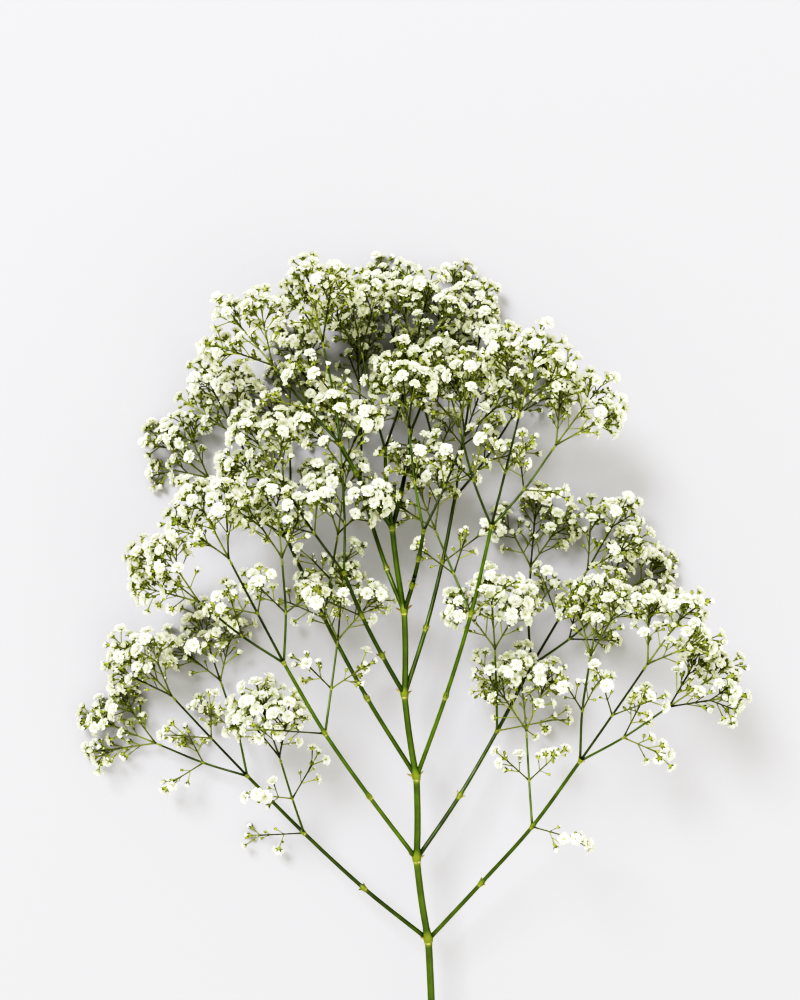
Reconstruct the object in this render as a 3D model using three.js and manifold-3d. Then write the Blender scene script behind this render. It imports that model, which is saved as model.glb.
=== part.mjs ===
// A cut stem of gypsophila (baby's breath) lying on a flat surface: one jointed stalk with its side
// branches, and a spray of small double blooms at the end of every twig. Millimetres, +Z up, +Y from
// the cut end towards the flowers. The origin is on the surface, under the middle of the stem's box.
//
// The stem is grown in three steps that share one list of claimed room: the bare branches first, then
// the forks of the sprays, then the blooms. Each new shoot tries a few directions and takes the one
// that keeps clearest of what has grown before it.
import * as THREE from "three";
import Module from "manifold-3d";

// ---------------------------------------------------------------- driving dimensions
const SEED = 20;

const STALK = {
  bareJoints: 5, // internodes below the first side branch
  bareInternode: 69,
  branchedJoints: 5, // joints that carry a pair of side branches
  branchedInternode: 40,
  baseRadius: 2.4,
  tipRadius: 1.35,
  lean: 40, // sideways travel from the cut end to the tip
  zigzag: 1.4, // each joint turns the stalk a little
  rise: 34, // height gained between the cut end and the tip
  sides: 6,
  swelling: 1.45, // joint radius over internode radius
};

// Heights that the branches bow to: some sag to the surface and some ride over them.
const LOW = 14;
const MIDDLE = 36;
const HIGH = 58;

// Side branches: joint counted from the lowest that branches, degrees from the stalk (left is
// minus), length to the fork, height at the fork, twigs there, and a twig halfway on the inner
// side. The last three are the stalk's own fork.
const SIDE_BRANCHES = [
  { joint: 0, angle: -46, length: 118, height: LOW, twigs: 3, inner: true },
  { joint: 0, angle: 50, length: 116, height: HIGH, twigs: 3, inner: true },
  { joint: 1, angle: -37, length: 116, height: HIGH, twigs: 3, inner: true },
  { joint: 1, angle: 37, length: 108, height: LOW, twigs: 3, inner: true },
  { joint: 2, angle: -26, length: 132, height: LOW, twigs: 3, inner: true },
  { joint: 2, angle: 29, length: 126, height: HIGH, twigs: 3, inner: true },
  { joint: 3, angle: -30, length: 66, height: HIGH, twigs: 2, inner: false },
  { joint: 3, angle: 20, length: 98, height: LOW, twigs: 3, inner: false },
  { joint: 4, angle: -16, length: 66, height: LOW, twigs: 2, inner: false },
  { joint: 4, angle: 26, length: 40, height: HIGH, twigs: 2, inner: false },
  { joint: 5, angle: -28, length: 46, height: HIGH, twigs: 2, inner: false },
  { joint: 5, angle: -2, length: 38, height: MIDDLE, twigs: 2, inner: false },
  { joint: 5, angle: 24, length: 48, height: LOW, twigs: 2, inner: false },
];

const BRANCH = {
  bend: 10, // degrees that a side branch curves back towards the stalk's direction
  steps: 3,
  radius: 1.2,
  endRadius: 0.86,
  sides: 4,
};

const TWIG = {
  length: 46,
  middleLength: 52,
  innerLength: 40,
  fork: 27, // degrees between the middle twig and its neighbours
  innerFork: 32,
  tilt: 5, // the middle twig climbs and its neighbours sink by this many mm
  lowest: 9, // height that no twig's end sags below
  radius: 0.68,
  endRadius: 0.52,
  sides: 3,
};

const SPRAY = {
  seam: 0.3, // gap between a twig's end and its spray
  stub: 2.6,
  twigletLength: 19,
  twigletMiddle: 24,
  twigletFork: 34,
  pedicelLength: 11,
  pedicelMiddle: 15,
  pedicelFork: 36,
  flatten: 0.62, // how far gravity presses the forks flat
  radius: 0.46,
  pedicelRadius: 0.34,
};

// A double bloom: outer petals spread low and inner petals stand up between them.
const BLOOM = {
  petals: 5,
  radius: 3.9,
  outerHeight: 2.6,
  notchRadius: 2.2,
  notchHeight: 2.8,
  innerRadius: 2.1,
  innerHeight: 4.8,
  calyxRadius: 0.6,
};

const BRACT = { length: 7.5, width: 1.6, thickness: 0.8, angle: 58 };

const GROWTH = {
  tries: 16,
  jitter: 9, // degrees
  enough: 1.6, // clearance beyond which more room is worth nothing
  leastGap: 0.5, // a bloom that can't keep this much clear isn't grown
  bloomFloor: 2.1, // height of the middle of a bloom that rests on the surface
  settle: 2.4, // a bloom this little above that height sags onto the surface
};

// ---------------------------------------------------------------- small tools
const RADIANS = Math.PI / 180;
const UP = new THREE.Vector3(0, 0, 1);

function seededRandom(seed) {
  let state = seed;
  return () => {
    state = (Math.imul(state, 1664525) + 1013904223) >>> 0;
    return state / 4294967296;
  };
}

const random = seededRandom(SEED);
const spread = (amount) => (2 * random() - 1) * amount;
const mix = (a, b, t) => a + (b - a) * t;
const smooth = (t) => t * t * (3 - 2 * t);
const clamp01 = (t) => Math.min(1, Math.max(0, t));
const along = (from, direction, distance) => from.clone().addScaledVector(direction, distance);
const unitTo = (from, to) => to.clone().sub(from).normalize();

/** A level direction, in degrees from +Y, turning towards +X. */
const heading = (degrees) =>
  new THREE.Vector3(Math.sin(degrees * RADIANS), Math.cos(degrees * RADIANS), 0);

/** A direction that leaves `axis` by `angle` degrees, on the side that `roll` degrees points to. */
function fork(axis, angle, roll, flatten = 1) {
  const side = new THREE.Vector3().crossVectors(axis, UP).normalize();
  const lift = new THREE.Vector3().crossVectors(side, axis);
  const turned = axis.clone().multiplyScalar(Math.cos(angle * RADIANS));
  turned.addScaledVector(side, Math.sin(angle * RADIANS) * Math.cos(roll * RADIANS));
  turned.addScaledVector(lift, Math.sin(angle * RADIANS) * Math.sin(roll * RADIANS) * flatten);
  return turned.normalize();
}

// ---------------------------------------------------------------- claimed room
/** Capsules {a, b, r} that later shoots keep clear of. */
const claimed = [];

function segmentGap(p, q, other) {
  const d1 = q.clone().sub(p);
  const d2 = other.b.clone().sub(other.a);
  const between = p.clone().sub(other.a);
  const a = Math.max(d1.dot(d1), 1e-12);
  const e = Math.max(d2.dot(d2), 1e-12);
  const b = d1.dot(d2);
  const c = d1.dot(between);
  const f = d2.dot(between);
  const steep = a * e - b * b;
  let s = steep > 1e-9 ? clamp01((b * f - c * e) / steep) : 0;
  const t = (b * s + f) / e;
  const held = clamp01(t);
  if (held !== t) s = clamp01((b * held - c) / a);
  return between.addScaledVector(d1, s).addScaledVector(d2, -held).length();
}

/** How far a shoot's capsule is from all that is claimed, leaving out what meets it at `root`. */
function clearance(capsule, root) {
  let least = Infinity;
  for (const other of claimed) {
    if (!capsule.bloom && (other.a === root || other.b === root)) continue;
    least = Math.min(least, segmentGap(capsule.a, capsule.b, other) - capsule.r - other.r);
  }
  return least;
}

/** Tries seeded variations of a shoot and returns the clearest; `make` gives its capsules. */
function growClearest(root, make) {
  let best = null;
  for (let n = 0; n < GROWTH.tries; n++) {
    const looseness = n / GROWTH.tries;
    const shoot = make(looseness);
    let room = GROWTH.enough;
    for (const capsule of shoot.capsules) {
      const sunk = Math.min(capsule.a.z, capsule.b.z) - capsule.floor;
      room = Math.min(room, clearance(capsule, root));
      if (sunk < -0.01) room = Math.min(room, sunk);
    }
    const score = room - looseness;
    if (!best || score > best.score) best = { ...shoot, room, score };
  }
  return best;
}

/** Capsules along a path of points, for a shoot that thins from r0 to r1. */
function capsulesAlong(points, r0, r1) {
  const last = points.length - 1;
  return points.slice(1).map((b, i) => {
    const r = mix(r0, r1, i / last);
    return { a: points[i], b, r, floor: r };
  });
}

// ---------------------------------------------------------------- growing the stalk
/** Joints from the cut end up: {point, radius}. */
function growStalk() {
  const heights = [0];
  for (let i = 0; i < STALK.bareJoints; i++) heights.push(heights.at(-1) + STALK.bareInternode);
  for (let i = 0; i < STALK.branchedJoints; i++) {
    heights.push(heights.at(-1) + STALK.branchedInternode);
  }
  const total = heights.at(-1);
  const joints = heights.map((y, i) => {
    const t = y / total;
    const turn = i === 0 ? 0 : (i % 2 ? 1 : -1) * STALK.zigzag;
    const radius = mix(STALK.baseRadius, STALK.tipRadius, t);
    const x = STALK.lean * (0.5 - t) + turn;
    const z = STALK.baseRadius * Math.cos(Math.PI / STALK.sides) + STALK.rise * smooth(t);
    return { point: new THREE.Vector3(x, y, z), radius };
  });
  for (let i = 1; i < joints.length; i++) {
    const [below, joint] = [joints[i - 1], joints[i]];
    claimed.push({ a: below.point, b: joint.point, r: below.radius });
  }
  return joints;
}

/** The way the stalk points just above joint n, in degrees from +Y. */
function stalkHeading(joints, n) {
  const above = Math.min(n + 1, joints.length - 1);
  const step = joints[above].point.clone().sub(joints[above - 1].point);
  return Math.atan2(step.x, step.y) / RADIANS;
}

/** A pair of leaf scales at every joint: {point, tip, size}. */
function growBracts(joints) {
  return joints.slice(1, -1).flatMap(({ point }, i) => {
    const axis = heading(stalkHeading(joints, i + 1));
    return [-1, 1].map((side) => {
      const roll = (side > 0 ? 0 : 180) + (i % 2 ? 25 : -20);
      const size = (i + 1 < STALK.bareJoints ? 1 : 0.8) * (1 - 0.25 * random());
      const tip = along(point, fork(axis, BRACT.angle, roll), size * BRACT.length);
      tip.z += size * 1.2;
      claimed.push({ a: point, b: tip, r: 0.6 });
      return { point, tip, size };
    });
  });
}

// ---------------------------------------------------------------- growing the bare branches
/** A side branch: leaves its joint, curves in and bows to its height on the way to its fork. */
function growSideBranch(joint, direction, spec) {
  const inwards = -Math.sign(spec.angle) * BRANCH.bend;
  const shoot = growClearest(joint.point, (looseness) => {
    const turn = direction + spec.angle + spread(GROWTH.jitter * 0.5 * looseness);
    const points = [joint.point];
    for (let i = 0; i < BRANCH.steps; i++) {
      const bent = turn + inwards * ((i + 0.5) / BRANCH.steps);
      const point = along(points.at(-1), heading(bent), spec.length / BRANCH.steps);
      point.z = mix(joint.point.z, spec.height, smooth((i + 1) / BRANCH.steps));
      points.push(point);
    }
    const capsules = capsulesAlong(points, BRANCH.radius, BRANCH.endRadius);
    return { points, capsules, end: turn + inwards };
  });
  claimed.push(...shoot.capsules);
  return { ...shoot, ...spec };
}

/** A twig from `start`: `turn` in degrees from +Y, `bow` how much it curves, `climb` in height. */
function growTwig(start, length, turn, bow, climb) {
  const shoot = growClearest(start, (looseness) => {
    const way = turn + spread(3) + spread(GROWTH.jitter * looseness);
    const rise = climb + spread(6 * looseness);
    const middle = along(start, heading(way + bow), length / 2);
    const end = along(middle, heading(way - bow), length / 2);
    end.z = Math.max(start.z + rise, TWIG.lowest);
    middle.z = mix(start.z, end.z, 0.6);
    const points = [start, middle, end];
    return { points, capsules: capsulesAlong(points, TWIG.radius, TWIG.endRadius) };
  });
  claimed.push(...shoot.capsules);
  return shoot;
}

/** The twigs that a side branch forks into, and the one on its inner side if it has that. */
function growTwigs(branch) {
  const sides = branch.twigs === 3 ? [0, -1, 1] : [-0.6, 0.6];
  const start = branch.points.at(-1);
  const twigs = sides.map((side) => {
    const length = side ? TWIG.length : TWIG.middleLength;
    const climb = side ? -TWIG.tilt : TWIG.tilt;
    return growTwig(start, length, branch.end + side * TWIG.fork, side * 3, climb);
  });
  if (branch.inner) {
    const lower = branch.points.at(-2);
    const turn = branch.end - Math.sign(branch.angle) * TWIG.innerFork;
    twigs.push(growTwig(lower, TWIG.innerLength, turn, 0, MIDDLE - lower.z));
  }
  return twigs;
}

// ---------------------------------------------------------------- growing the sprays
/** The stub and three twiglets of the spray at a twig's end. */
function growTwiglets(twig, name) {
  const [before, end] = twig.points.slice(-2);
  const axis = unitTo(before, end);
  const root = along(end, axis, SPRAY.seam);
  const knot = along(root, axis, SPRAY.stub);
  claimed.push({ a: root, b: knot, r: SPRAY.radius });
  const roll = 40 + spread(30);
  const twiglets = [0, 0, 180].map((side, i) => {
    const length = i ? SPRAY.twigletLength : SPRAY.twigletMiddle;
    const shoot = growClearest(knot, (looseness) => {
      const angle = (i ? SPRAY.twigletFork : 0) + spread(GROWTH.jitter * (0.4 + looseness));
      const direction = fork(axis, angle, roll + side + spread(25 * looseness), SPRAY.flatten);
      const tip = along(knot, direction, length * (1 - 0.25 * looseness * random()));
      return { direction, tip, capsules: [{ a: knot, b: tip, r: SPRAY.radius, floor: 1.5 }] };
    });
    claimed.push(...shoot.capsules);
    return { ...shoot, blooms: [] };
  });
  return { name, root, knot, axis, roll, twiglets };
}

/** One bloom on its pedicel, at the end of a twiglet, if there is room for it. */
function growBloom(spray, twiglet, number) {
  const length = number ? SPRAY.pedicelLength : SPRAY.pedicelMiddle;
  const roll = spray.roll + (number === 2 ? 270 : 90);
  const shoot = growClearest(twiglet.tip, (looseness) => {
    const angle = (number ? SPRAY.pedicelFork : 0) + spread(GROWTH.jitter * (0.6 + 2 * looseness));
    const direction = fork(twiglet.direction, angle, roll + spread(45 * looseness), SPRAY.flatten);
    const seat = along(twiglet.tip, direction, length * (1 - 0.35 * looseness * random()));
    const middle = along(seat, direction, BLOOM.innerHeight * 0.55);
    const sag = middle.z - GROWTH.bloomFloor;
    if (sag > 0 && sag < GROWTH.settle) {
      seat.z -= sag;
      middle.z -= sag;
    }
    const pedicel = { a: twiglet.tip, b: seat, r: SPRAY.pedicelRadius, floor: 0.6 };
    const head = { a: middle, b: middle, r: BLOOM.radius, floor: GROWTH.bloomFloor, bloom: true };
    return { number, seat, direction, capsules: [pedicel, head] };
  });
  if (shoot.room < GROWTH.leastGap) return;
  claimed.push(...shoot.capsules);
  twiglet.blooms.push(shoot);
}

function growStem() {
  const joints = growStalk();
  const bracts = growBracts(joints);
  const branches = SIDE_BRANCHES.map((spec) => {
    const n = STALK.bareJoints + spec.joint;
    return growSideBranch(joints[n], stalkHeading(joints, n), spec);
  });
  const twigs = branches.flatMap(growTwigs);
  const sprays = twigs.map((twig, i) => growTwiglets(twig, "spray_" + String(i + 1).padStart(2, "0")));
  for (const number of [0, 1, 2]) {
    for (const spray of sprays) {
      for (const twiglet of spray.twiglets) growBloom(spray, twiglet, number);
    }
  }
  return { joints, bracts, branches, twigs, sprays };
}

// ---------------------------------------------------------------- making skins
const wasm = await Module();
wasm.setup();

/** Two directions across an axis. */
function acrossAxis(axis) {
  const across = new THREE.Vector3().crossVectors(UP, axis);
  if (across.lengthSq() < 1e-6) across.set(1, 0, 0);
  across.normalize();
  return [across, new THREE.Vector3().crossVectors(axis, across)];
}

/** Points round an axis: `radii` gives one radius for each point, `lifts` its place along the axis. */
function ringPoints(centre, axis, turn, radii, lifts = []) {
  const [across, other] = acrossAxis(axis);
  return radii.map((radius, i) => {
    const angle = turn * RADIANS + (2 * Math.PI * i) / radii.length;
    const point = along(centre, across, radius * Math.cos(angle));
    return point.addScaledVector(other, radius * Math.sin(angle)).addScaledVector(axis, lifts[i] ?? 0);
  });
}

/** Where something is round an axis, in degrees. */
function turnRound(axis, offset) {
  const [across, other] = acrossAxis(axis);
  return Math.atan2(offset.dot(other), offset.dot(across)) / RADIANS;
}

/** A closed skin of triangles that is made ring by ring and may fork. Rings are lists of indices. */
class Skin {
  points = [];
  triangles = [];

  ring(points) {
    const start = this.points.length;
    this.points.push(...points);
    return points.map((_, i) => start + i);
  }

  /** Closes the far end of a ring, or with `start` its near end. */
  close(ring, start = false) {
    for (let i = 1; i < ring.length - 1; i++) {
      const [b, c] = start ? [ring[i + 1], ring[i]] : [ring[i], ring[i + 1]];
      this.triangles.push([ring[0], b, c]);
    }
  }

  /** Joins two rings, which may have different numbers of points. */
  bridge(low, high) {
    const m = low.length;
    const n = high.length;
    let i = 0;
    let j = 0;
    while (i < m || j < n) {
      const stepLow = j >= n || (i < m && (i + 1) / m <= (j + 1) / n);
      if (stepLow) {
        this.triangles.push([low[i % m], low[(i + 1) % m], high[j % n]]);
        i++;
      } else {
        this.triangles.push([low[i % m], high[(j + 1) % n], high[j % n]]);
        j++;
      }
    }
    return high;
  }

  centre(ring) {
    const sum = new THREE.Vector3();
    for (const index of ring) sum.add(this.points[index]);
    return sum.divideScalar(ring.length);
  }

  /** The turn at which a new ring's first point lines up with a ring's first point. */
  turnOf(ring, axis) {
    return turnRound(axis, this.points[ring[0]].clone().sub(this.centre(ring)));
  }

  solid() {
    return new wasm.Manifold(
      new wasm.Mesh({
        numProp: 3,
        vertProperties: new Float32Array(this.points.flatMap((v) => [v.x, v.y, v.z])),
        triVerts: new Uint32Array(this.triangles.flat()),
      }),
    );
  }
}

// ---------------------------------------------------------------- the stem's solid
/** A closed solid through rings of points. */
function loft(rings) {
  const skin = new Skin();
  let last = skin.ring(rings[0]);
  skin.close(last, true);
  for (const points of rings.slice(1)) last = skin.bridge(last, skin.ring(points));
  skin.close(last);
  return skin.solid();
}

/** A tapered tube through `sections` of {point, radius}. */
function tube(sections, sides) {
  const rings = sections.map(({ point, radius }, i) => {
    const before = sections[Math.max(i - 1, 0)].point;
    const after = sections[Math.min(i + 1, sections.length - 1)].point;
    return ringPoints(point, unitTo(before, after), 180 / sides + 90, Array(sides).fill(radius));
  });
  return loft(rings);
}

/** Sections of the stalk: each joint swells and the tube between the joints stays even. */
function stalkSections(joints) {
  const sections = [];
  joints.forEach(({ point, radius }, i) => {
    const before = joints[i - 1]?.point;
    const after = joints[i + 1]?.point;
    if (!before) {
      sections.push({ point, radius });
      return;
    }
    sections.push({ point: along(point, unitTo(point, before), radius * 1.6), radius });
    sections.push({ point, radius: radius * STALK.swelling });
    if (after) {
      sections.push({ point: along(point, unitTo(point, after), radius * 1.3), radius: radius * 0.96 });
    }
  });
  return sections;
}

/** Sections of a side branch, which swells where it forks. */
function branchSections({ points }) {
  const sections = points.slice(0, -1).map((point, i) => {
    return { point, radius: mix(BRANCH.radius, BRANCH.endRadius, i / BRANCH.steps) };
  });
  const end = points.at(-1);
  const axis = unitTo(points.at(-2), end);
  sections.push({ point: along(end, axis, -1.8), radius: BRANCH.endRadius });
  sections.push({ point: along(end, axis, 0.3), radius: BRANCH.endRadius * 1.5 });
  return sections;
}

function twigSections({ points }) {
  return points.map((point, i) => ({ point, radius: mix(TWIG.radius, TWIG.endRadius, i / 2) }));
}

/** A small pointed leaf scale, its root sunk in the joint. */
function bractSolid({ point, tip, size }) {
  const direction = unitTo(point, tip);
  const across = new THREE.Vector3().crossVectors(direction, UP).normalize();
  const half = (size * BRACT.width) / 2;
  const section = (centre, width, height) => [
    along(along(centre, across, -width), UP, -height),
    along(centre, UP, height),
    along(along(centre, across, width), UP, -height),
  ];
  const middle = along(point, direction, size * BRACT.length * 0.45);
  return loft([
    section(point, half * 0.7, BRACT.thickness / 2),
    section(middle, half, BRACT.thickness / 2),
    section(tip, 0.35, 0.3),
  ]);
}

/** The stalk, its side branches, twigs and leaf scales, grown as one piece. */
function stemSolid({ joints, bracts, branches, twigs }) {
  return wasm.Manifold.union([
    tube(stalkSections(joints), STALK.sides),
    ...branches.map((branch) => tube(branchSections(branch), BRANCH.sides)),
    ...twigs.map((twig) => tube(twigSections(twig), TWIG.sides)),
    ...bracts.map(bractSolid),
  ]);
}

// ---------------------------------------------------------------- a spray's solid
/**
 * Grows a square tube from a ring to a swollen fork at `point`. One shoot may go straight on and
 * others leave through the fork's side faces: returns the ring that each starts from.
 */
function growFork(skin, ring, point, axis, radius, ahead, sideways) {
  const aim = sideways.length ? turnRound(axis, sideways[0]) - 45 : skin.turnOf(ring, axis);
  const quarter = Math.round((skin.turnOf(ring, axis) - aim) / 90);
  const turn = aim + quarter * 90;
  const radii = Array(4).fill(radius * 1.15);
  const low = skin.ring(ringPoints(along(point, axis, -radius), axis, turn, radii));
  const high = skin.ring(ringPoints(along(point, axis, radius * 0.7), axis, turn, radii));
  skin.bridge(ring, low);
  const used = new Set();
  const starts = sideways.map((direction) => {
    let face = Math.round((turnRound(axis, direction) - turn - 45) / 90);
    while (used.has(((face % 4) + 4) % 4)) face++;
    face = ((face % 4) + 4) % 4;
    used.add(face);
    const next = (face + 1) % 4;
    return [low[face], low[next], high[next], high[face]];
  });
  for (let face = 0; face < 4; face++) {
    const next = (face + 1) % 4;
    if (!used.has(face)) skin.close([low[face], low[next], high[next], high[face]]);
  }
  if (!ahead) skin.close(high);
  return [high, starts];
}

/** Grows a pedicel from a ring to its bloom: a narrow calyx, outer petals, then inner petals. */
function growHead(skin, ring, { seat, direction }) {
  const turn = skin.turnOf(ring, direction);
  const rim = [];
  const lifts = [];
  for (let i = 0; i < BLOOM.petals; i++) {
    rim.push(BLOOM.radius, BLOOM.notchRadius);
    lifts.push(BLOOM.outerHeight, BLOOM.notchHeight);
  }
  const inner = Array(BLOOM.petals).fill(BLOOM.innerRadius);
  const innerLifts = Array(BLOOM.petals).fill(BLOOM.innerHeight);
  const innerTurn = turn + 180 / BLOOM.petals;
  const rings = [
    ringPoints(seat, direction, turn, Array(3).fill(BLOOM.calyxRadius)),
    ringPoints(seat, direction, turn, rim, lifts),
    ringPoints(seat, direction, innerTurn, inner, innerLifts),
  ];
  let last = ring;
  for (const points of rings) {
    for (const point of points) point.z = Math.max(point.z, 0);
    last = skin.bridge(last, skin.ring(points));
  }
  skin.close(last);
}

/** Grows a twiglet from a ring to the fork at its tip, and its blooms from there. */
function growTwigletSkin(skin, ring, { tip, direction, blooms }) {
  const ahead = blooms.find((bloom) => bloom.number === 0);
  const others = blooms.filter((bloom) => bloom.number > 0);
  const ways = others.map((bloom) => bloom.direction);
  const [end, starts] = growFork(skin, ring, tip, direction, SPRAY.radius, ahead, ways);
  if (ahead) growHead(skin, end, ahead);
  others.forEach((bloom, i) => growHead(skin, starts[i], bloom));
}

function spraySolid({ root, knot, axis, twiglets }) {
  const skin = new Skin();
  const [middle, ...others] = twiglets;
  const stub = skin.ring(ringPoints(root, axis, 45, Array(4).fill(TWIG.endRadius)));
  skin.close(stub, true);
  const ways = others.map((twiglet) => twiglet.direction);
  const [end, starts] = growFork(skin, stub, knot, axis, SPRAY.radius, middle, ways);
  growTwigletSkin(skin, end, middle);
  others.forEach((twiglet, i) => growTwigletSkin(skin, starts[i], twiglet));
  return skin.solid();
}

// ---------------------------------------------------------------- the named meshes
const stemGreen = new THREE.MeshStandardMaterial({ color: 0x4f7a2a, roughness: 0.55, metalness: 0 });
const petalWhite = new THREE.MeshStandardMaterial({ color: 0xf1f2e8, roughness: 0.85, metalness: 0 });

function meshOf(name, solid, material) {
  const { numVert, numProp, vertProperties, triVerts } = solid.getMesh();
  const positions = new Float32Array(numVert * 3);
  for (let i = 0; i < numVert; i++) {
    positions.set(vertProperties.subarray(i * numProp, i * numProp + 3), i * 3);
  }
  const geometry = new THREE.BufferGeometry();
  geometry.setAttribute("position", new THREE.BufferAttribute(positions, 3));
  geometry.setIndex(new THREE.BufferAttribute(new Uint32Array(triVerts), 1));
  geometry.computeVertexNormals();
  const mesh = new THREE.Mesh(geometry, material);
  mesh.name = name;
  return mesh;
}

/** The middle of the footprint, from the cut end and the blooms. */
function footprintCentre({ joints, sprays }) {
  const blooms = sprays.flatMap((spray) => spray.twiglets.flatMap((twiglet) => twiglet.blooms));
  const xs = blooms.map((bloom) => bloom.capsules[1].a.x);
  const ys = blooms.map((bloom) => bloom.capsules[1].a.y);
  const x = (Math.min(...xs) + Math.max(...xs)) / 2;
  const y = (joints[0].point.y + Math.max(...ys) + BLOOM.radius) / 2;
  return new THREE.Vector3(x, y, 0);
}

const plant = growStem();
const gypsophilaStem = new THREE.Group();
gypsophilaStem.add(meshOf("stem", stemSolid(plant), stemGreen));
for (const spray of plant.sprays) {
  gypsophilaStem.add(meshOf(spray.name, spraySolid(spray), petalWhite));
}
gypsophilaStem.position.copy(footprintCentre(plant)).negate();

export default gypsophilaStem;
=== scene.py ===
"""A cut stem of gypsophila, dressed: the jointed stalk and its branches made fine and green, and every
spray with ruffled double blooms, half-open blooms and buds in their calyces. Metres, +Z up, +Y from the
cut end towards the flowers."""
import math

import bpy
import numpy as np
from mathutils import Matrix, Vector


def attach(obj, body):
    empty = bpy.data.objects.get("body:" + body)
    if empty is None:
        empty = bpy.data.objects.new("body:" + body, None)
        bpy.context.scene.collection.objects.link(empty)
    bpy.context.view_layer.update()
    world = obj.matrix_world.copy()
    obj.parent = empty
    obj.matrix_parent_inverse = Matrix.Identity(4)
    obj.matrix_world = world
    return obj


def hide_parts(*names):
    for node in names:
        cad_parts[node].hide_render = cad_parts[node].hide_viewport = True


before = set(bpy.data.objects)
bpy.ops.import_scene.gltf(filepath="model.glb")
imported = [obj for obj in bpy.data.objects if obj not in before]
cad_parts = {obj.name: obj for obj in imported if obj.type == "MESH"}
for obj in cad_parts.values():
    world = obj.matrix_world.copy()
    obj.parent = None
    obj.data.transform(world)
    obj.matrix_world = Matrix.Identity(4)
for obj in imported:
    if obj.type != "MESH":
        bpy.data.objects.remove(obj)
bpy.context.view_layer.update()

MM = 0.001
UP = np.array([0.0, 0.0, 1.0])

# ---------------------------------------------------------------- the plant's own dimensions, in mm
# These grow the same stem as the solid part: the same joints, twigs, sprays and blooms.
SEED = 20
STALK = dict(bare_joints=5, bare_internode=69, branched_joints=5, branched_internode=40,
             base_radius=2.4, tip_radius=1.35, lean=40, zigzag=1.4, rise=34, sides=6)
LOW, MIDDLE, HIGH = 14, 36, 58
# joint, degrees from the stalk, length to the fork, height there, twigs at the fork, inner twig
SIDE_BRANCHES = [
    (0, -46, 118, LOW, 3, True), (0, 50, 116, HIGH, 3, True),
    (1, -37, 116, HIGH, 3, True), (1, 37, 108, LOW, 3, True),
    (2, -26, 132, LOW, 3, True), (2, 29, 126, HIGH, 3, True),
    (3, -30, 66, HIGH, 2, False), (3, 20, 98, LOW, 3, False),
    (4, -16, 66, LOW, 2, False), (4, 26, 40, HIGH, 2, False),
    (5, -28, 46, HIGH, 2, False), (5, -2, 38, MIDDLE, 2, False), (5, 24, 48, LOW, 2, False),
]
FORK_SIDES = {2: (-0.6, 0.6), 3: (0, -1, 1)}  # of the twigs at a fork, by their number
BRANCH = dict(bend=10, steps=3, radius=1.2, end_radius=0.86, jitter_share=0.5)
TWIG = dict(length=46, middle_length=52, inner_length=40, fork=27, inner_fork=32, tilt=5, lowest=9,
            bow=3, sway=3, bob=6, middle_height=0.6, radius=0.68, end_radius=0.52)
SPRAY = dict(seam=0.3, stub=2.6, roll=40, roll_spread=30, twiglet_length=19, twiglet_middle=24,
             twiglet_fork=34, pedicel_length=11, pedicel_middle=15, pedicel_fork=36, flatten=0.62,
             radius=0.46, pedicel_radius=0.34, twiglet_floor=1.5, pedicel_floor=0.6)
BLOOM = dict(radius=3.9, inner_height=4.8, middle_share=0.55)
BRACT = dict(length=7.5, angle=58, upper_size=0.8, smaller=0.25, lift=1.2, radius=0.6, rolls=(-20, 25))
GROWTH = dict(tries=16, jitter=9, enough=1.6, least_gap=0.5, bloom_floor=2.1, settle=2.4, sunk=0.01)
# How loosely a shoot takes its place: shares of the jitter, degrees of roll, and how much shorter it gets.
TWIGLET_PLAY = dict(steady=0.4, roll=25, shorter=0.25)
BLOOM_PLAY = dict(steady=0.6, looser=2, roll=45, shorter=0.35)


# ---------------------------------------------------------------- small tools
class Draws:
    """The seeded draws of the plant's growth, shares from 0 to 1, in their order."""

    def __init__(self, seed):
        self.state = seed

    def __call__(self):
        self.state = (self.state * 1664525 + 1013904223) & 0xFFFFFFFF
        return self.state / 4294967296


draw = Draws(SEED)


def spread(amount):
    """A draw from minus amount to amount."""
    return (2 * draw() - 1) * amount


def mix(a, b, t):
    """A share t of the way from a to b."""
    return a + (b - a) * t


def smooth(t):
    return t * t * (3 - 2 * t)


def unit(v):
    return v / math.sqrt(v[0] * v[0] + v[1] * v[1] + v[2] * v[2])


def heading(degrees):
    """A level direction, in degrees from +Y, turning towards +X."""
    a = math.radians(degrees)
    return np.array([math.sin(a), math.cos(a), 0.0])


def fork(axis, angle, roll, flatten=1.0):
    """A direction that leaves axis by an angle, on the side that roll points to."""
    side = unit(np.cross(axis, UP))
    lift = np.cross(side, axis)
    a, r = math.radians(angle), math.radians(roll)
    turned = axis * math.cos(a) + side * (math.sin(a) * math.cos(r))
    return unit(turned + lift * (math.sin(a) * math.sin(r) * flatten))


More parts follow.
